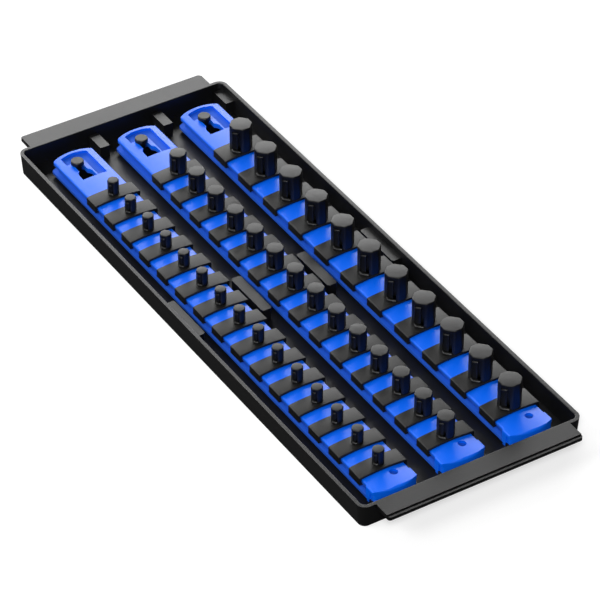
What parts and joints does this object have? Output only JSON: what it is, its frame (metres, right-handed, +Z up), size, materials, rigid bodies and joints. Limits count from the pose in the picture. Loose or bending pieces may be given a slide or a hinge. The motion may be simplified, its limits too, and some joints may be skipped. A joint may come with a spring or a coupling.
{
  "type": "socket organizer tray",
  "caption": "Shallow drawer tray with end flanges, holding removable slide rails on which sliding clips carry twist-lock square posts for storing sockets.",
  "frame": {"origin": "middle of the tray, on the surface that it stands on", "axes": "+X across the rails from the 1/4 in rail to the 1/2 in rail, +Y along the rails towards the keyhole end, +Z up out of the open side of the tray"},
  "size_m": [0.1314, 0.3734, 0.0299],
  "materials": {
    "tray_black": "satin black moulded plastic",
    "rail_blue": "bright blue moulded plastic with a soft sheen",
    "clip_black": "satin black moulded plastic with a fine grain",
    "peg_black": "satin black moulded plastic"
  },
  "bodies": {
    "tray": {"drawer_tray": "tray_black", "quarter_rail_lock_peg": "peg_black", "three_eighths_rail_lock_peg": "peg_black", "half_rail_lock_peg": "peg_black"},
    "quarter_rail": {"quarter_inch_rail": "rail_blue"},
    "quarter_clip_01": {"quarter_clip_01": "clip_black"},
    "quarter_clip_02": {"quarter_clip_02": "clip_black"},
    "quarter_clip_03": {"quarter_clip_03": "clip_black"},
    "quarter_clip_04": {"quarter_clip_04": "clip_black"},
    "quarter_clip_05": {"quarter_clip_05": "clip_black"},
    "quarter_clip_06": {"quarter_clip_06": "clip_black"},
    "quarter_clip_07": {"quarter_clip_07": "clip_black"},
    "quarter_clip_08": {"quarter_clip_08": "clip_black"},
    "quarter_clip_09": {"quarter_clip_09": "clip_black"},
    "quarter_clip_10": {"quarter_clip_10": "clip_black"},
    "quarter_clip_11": {"quarter_clip_11": "clip_black"},
    "quarter_clip_12": {"quarter_clip_12": "clip_black"},
    "quarter_clip_13": {"quarter_clip_13": "clip_black"},
    "quarter_clip_14": {"quarter_clip_14": "clip_black"},
    "quarter_clip_15": {"quarter_clip_15": "clip_black"},
    "three_eighths_rail": {"three_eighths_inch_rail": "rail_blue"},
    "three_eighths_clip_01": {"three_eighths_clip_01": "clip_black"},
    "three_eighths_clip_02": {"three_eighths_clip_02": "clip_black"},
    "three_eighths_clip_03": {"three_eighths_clip_03": "clip_black"},
    "three_eighths_clip_04": {"three_eighths_clip_04": "clip_black"},
    "three_eighths_clip_05": {"three_eighths_clip_05": "clip_black"},
    "three_eighths_clip_06": {"three_eighths_clip_06": "clip_black"},
    "three_eighths_clip_07": {"three_eighths_clip_07": "clip_black"},
    "three_eighths_clip_08": {"three_eighths_clip_08": "clip_black"},
    "three_eighths_clip_09": {"three_eighths_clip_09": "clip_black"},
    "three_eighths_clip_10": {"three_eighths_clip_10": "clip_black"},
    "three_eighths_clip_11": {"three_eighths_clip_11": "clip_black"},
    "three_eighths_clip_12": {"three_eighths_clip_12": "clip_black"},
    "three_eighths_clip_13": {"three_eighths_clip_13": "clip_black"},
    "three_eighths_clip_14": {"three_eighths_clip_14": "clip_black"},
    "half_rail": {"half_inch_rail": "rail_blue"},
    "half_clip_01": {"half_clip_01": "clip_black"},
    "half_clip_02": {"half_clip_02": "clip_black"},
    "half_clip_03": {"half_clip_03": "clip_black"},
    "half_clip_04": {"half_clip_04": "clip_black"},
    "half_clip_05": {"half_clip_05": "clip_black"},
    "half_clip_06": {"half_clip_06": "clip_black"},
    "half_clip_07": {"half_clip_07": "clip_black"},
    "half_clip_08": {"half_clip_08": "clip_black"},
    "half_clip_09": {"half_clip_09": "clip_black"},
    "half_clip_10": {"half_clip_10": "clip_black"},
    "half_clip_11": {"half_clip_11": "clip_black"}
  },
  "joints": [
    {"name": "quarter_rail_slide", "type": "slide", "parent": "tray", "child": "quarter_rail", "axis": [0, 1, 0], "range_m": [0, 0.01]},
    {"name": "quarter_clip_01_slide", "type": "slide", "parent": "quarter_rail", "child": "quarter_clip_01", "axis": [0, 1, 0], "range_m": [-0.0042, 0.0042]},
    {"name": "quarter_clip_02_slide", "type": "slide", "parent": "quarter_rail", "child": "quarter_clip_02", "axis": [0, 1, 0], "range_m": [-0.0042, 0.0042]},
    {"name": "quarter_clip_03_slide", "type": "slide", "parent": "quarter_rail", "child": "quarter_clip_03", "axis": [0, 1, 0], "range_m": [-0.0042, 0.0042]},
    {"name": "quarter_clip_04_slide", "type": "slide", "parent": "quarter_rail", "child": "quarter_clip_04", "axis": [0, 1, 0], "range_m": [-0.0042, 0.0042]},
    {"name": "quarter_clip_05_slide", "type": "slide", "parent": "quarter_rail", "child": "quarter_clip_05", "axis": [0, 1, 0], "range_m": [-0.0042, 0.0042]},
    {"name": "quarter_clip_06_slide", "type": "slide", "parent": "quarter_rail", "child": "quarter_clip_06", "axis": [0, 1, 0], "range_m": [-0.0042, 0.0042]},
    {"name": "quarter_clip_07_slide", "type": "slide", "parent": "quarter_rail", "child": "quarter_clip_07", "axis": [0, 1, 0], "range_m": [-0.0042, 0.0042]},
    {"name": "quarter_clip_08_slide", "type": "slide", "parent": "quarter_rail", "child": "quarter_clip_08", "axis": [0, 1, 0], "range_m": [-0.0042, 0.0042]},
    {"name": "quarter_clip_09_slide", "type": "slide", "parent": "quarter_rail", "child": "quarter_clip_09", "axis": [0, 1, 0], "range_m": [-0.0042, 0.0042]},
    {"name": "quarter_clip_10_slide", "type": "slide", "parent": "quarter_rail", "child": "quarter_clip_10", "axis": [0, 1, 0], "range_m": [-0.0042, 0.0042]},
    {"name": "quarter_clip_11_slide", "type": "slide", "parent": "quarter_rail", "child": "quarter_clip_11", "axis": [0, 1, 0], "range_m": [-0.0042, 0.0042]},
    {"name": "quarter_clip_12_slide", "type": "slide", "parent": "quarter_rail", "child": "quarter_clip_12", "axis": [0, 1, 0], "range_m": [-0.0042, 0.0042]},
    {"name": "quarter_clip_13_slide", "type": "slide", "parent": "quarter_rail", "child": "quarter_clip_13", "axis": [0, 1, 0], "range_m": [-0.0042, 0.0042]},
    {"name": "quarter_clip_14_slide", "type": "slide", "parent": "quarter_rail", "child": "quarter_clip_14", "axis": [0, 1, 0], "range_m": [-0.0042, 0.0042]},
    {"name": "quarter_clip_15_slide", "type": "slide", "parent": "quarter_rail", "child": "quarter_clip_15", "axis": [0, 1, 0], "range_m": [-0.0042, 0.0042]},
    {"name": "three_eighths_rail_slide", "type": "slide", "parent": "tray", "child": "three_eighths_rail", "axis": [0, 1, 0], "range_m": [0, 0.01]},
    {"name": "three_eighths_clip_01_slide", "type": "slide", "parent": "three_eighths_rail", "child": "three_eighths_clip_01", "axis": [0, 1, 0], "range_m": [-0.0047, 0.0047]},
    {"name": "three_eighths_clip_02_slide", "type": "slide", "parent": "three_eighths_rail", "child": "three_eighths_clip_02", "axis": [0, 1, 0], "range_m": [-0.0047, 0.0047]},
    {"name": "three_eighths_clip_03_slide", "type": "slide", "parent": "three_eighths_rail", "child": "three_eighths_clip_03", "axis": [0, 1, 0], "range_m": [-0.0047, 0.0047]},
    {"name": "three_eighths_clip_04_slide", "type": "slide", "parent": "three_eighths_rail", "child": "three_eighths_clip_04", "axis": [0, 1, 0], "range_m": [-0.0047, 0.0047]},
    {"name": "three_eighths_clip_05_slide", "type": "slide", "parent": "three_eighths_rail", "child": "three_eighths_clip_05", "axis": [0, 1, 0], "range_m": [-0.0047, 0.0047]},
    {"name": "three_eighths_clip_06_slide", "type": "slide", "parent": "three_eighths_rail", "child": "three_eighths_clip_06", "axis": [0, 1, 0], "range_m": [-0.0047, 0.0047]},
    {"name": "three_eighths_clip_07_slide", "type": "slide", "parent": "three_eighths_rail", "child": "three_eighths_clip_07", "axis": [0, 1, 0], "range_m": [-0.0047, 0.0047]},
    {"name": "three_eighths_clip_08_slide", "type": "slide", "parent": "three_eighths_rail", "child": "three_eighths_clip_08", "axis": [0, 1, 0], "range_m": [-0.0047, 0.0047]},
    {"name": "three_eighths_clip_09_slide", "type": "slide", "parent": "three_eighths_rail", "child": "three_eighths_clip_09", "axis": [0, 1, 0], "range_m": [-0.0047, 0.0047]},
    {"name": "three_eighths_clip_10_slide", "type": "slide", "parent": "three_eighths_rail", "child": "three_eighths_clip_10", "axis": [0, 1, 0], "range_m": [-0.0047, 0.0047]},
    {"name": "three_eighths_clip_11_slide", "type": "slide", "parent": "three_eighths_rail", "child": "three_eighths_clip_11", "axis": [0, 1, 0], "range_m": [-0.0047, 0.0047]},
    {"name": "three_eighths_clip_12_slide", "type": "slide", "parent": "three_eighths_rail", "child": "three_eighths_clip_12", "axis": [0, 1, 0], "range_m": [-0.0047, 0.0047]},
    {"name": "three_eighths_clip_13_slide", "type": "slide", "parent": "three_eighths_rail", "child": "three_eighths_clip_13", "axis": [0, 1, 0], "range_m": [-0.0047, 0.0047]},
    {"name": "three_eighths_clip_14_slide", "type": "slide", "parent": "three_eighths_rail", "child": "three_eighths_clip_14", "axis": [0, 1, 0], "range_m": [-0.0047, 0.0047]},
    {"name": "half_rail_slide", "type": "slide", "parent": "tray", "child": "half_rail", "axis": [0, 1, 0], "range_m": [0, 0.01]},
    {"name": "half_clip_01_slide", "type": "slide", "parent": "half_rail", "child": "half_clip_01", "axis": [0, 1, 0], "range_m": [-0.0063, 0.0063]},
    {"name": "half_clip_02_slide", "type": "slide", "parent": "half_rail", "child": "half_clip_02", "axis": [0, 1, 0], "range_m": [-0.0063, 0.0063]},
    {"name": "half_clip_03_slide", "type": "slide", "parent": "half_rail", "child": "half_clip_03", "axis": [0, 1, 0], "range_m": [-0.0063, 0.0063]},
    {"name": "half_clip_04_slide", "type": "slide", "parent": "half_rail", "child": "half_clip_04", "axis": [0, 1, 0], "range_m": [-0.0063, 0.0063]},
    {"name": "half_clip_05_slide", "type": "slide", "parent": "half_rail", "child": "half_clip_05", "axis": [0, 1, 0], "range_m": [-0.0063, 0.0063]},
    {"name": "half_clip_06_slide", "type": "slide", "parent": "half_rail", "child": "half_clip_06", "axis": [0, 1, 0], "range_m": [-0.0063, 0.0063]},
    {"name": "half_clip_07_slide", "type": "slide", "parent": "half_rail", "child": "half_clip_07", "axis": [0, 1, 0], "range_m": [-0.0063, 0.0063]},
    {"name": "half_clip_08_slide", "type": "slide", "parent": "half_rail", "child": "half_clip_08", "axis": [0, 1, 0], "range_m": [-0.0063, 0.0063]},
    {"name": "half_clip_09_slide", "type": "slide", "parent": "half_rail", "child": "half_clip_09", "axis": [0, 1, 0], "range_m": [-0.0063, 0.0063]},
    {"name": "half_clip_10_slide", "type": "slide", "parent": "half_rail", "child": "half_clip_10", "axis": [0, 1, 0], "range_m": [-0.0063, 0.0063]},
    {"name": "half_clip_11_slide", "type": "slide", "parent": "half_rail", "child": "half_clip_11", "axis": [0, 1, 0], "range_m": [-0.0063, 0.0063]}
  ]
}
